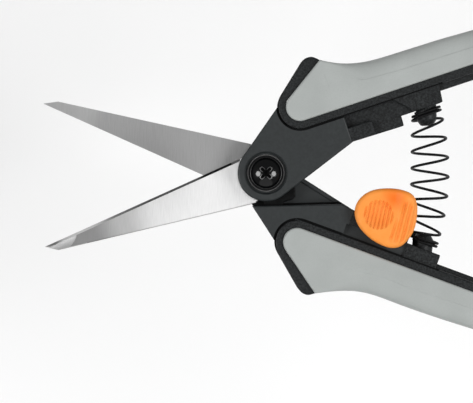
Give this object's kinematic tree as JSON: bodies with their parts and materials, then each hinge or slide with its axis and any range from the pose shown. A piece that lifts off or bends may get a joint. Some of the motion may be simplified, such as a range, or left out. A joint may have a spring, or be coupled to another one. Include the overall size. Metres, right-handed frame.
{
  "type": "floral snips",
  "caption": "Hand snips with slim pointed steel blades, soft-grip handles that a coil spring pushes open, and a sliding thumb lock.",
  "frame": {"origin": "on the pivot axis, in the plane that the snips lie on: the back face of the pivot nut's flange", "axes": "-X towards the blade tips and +X towards the handles, +Y towards the front half's handle, +Z out of the screw side; modelled fully open"},
  "size_m": [0.1479, 0.0986, 0.0149],
  "materials": {
    "blade_steel": "ground and satin polished",
    "nylon_black": "fine moulded texture",
    "soft_grip_grey": "soft-touch matte",
    "black_hardware": "black gloss",
    "spring_steel": "plain",
    "lock_orange": "semi-gloss"
  },
  "bodies": {
    "rear_half": {"rear_handle_frame": "nylon_black", "back_blade": "blade_steel", "rear_grip": "soft_grip_grey", "pivot_screw": "black_hardware", "screw_washer": "black_hardware", "pivot_nut": "black_hardware", "tension_washer": "spring_steel", "return_spring": "black_hardware"},
    "front_half": {"front_handle_frame": "nylon_black", "front_blade": "blade_steel", "front_grip": "soft_grip_grey"},
    "lock": {"lock_button": "lock_orange", "lock_retainer": "nylon_black"}
  },
  "joints": [
    {"name": "handle_pivot", "type": "hinge", "parent": "rear_half", "child": "front_half", "pos_m": [0, 0, 0.0065], "axis": [0, 0, 1], "range_deg": [-35.75, 0], "stiffness_Nm_per_rad": 0.9, "springref_deg": 4.58, "deforming": ["return_spring"]},
    {"name": "lock_slide", "type": "slide", "parent": "rear_half", "child": "lock", "axis": [-0.9379, 0.3469, 0], "range_m": [0, 0.006]}
  ]
}
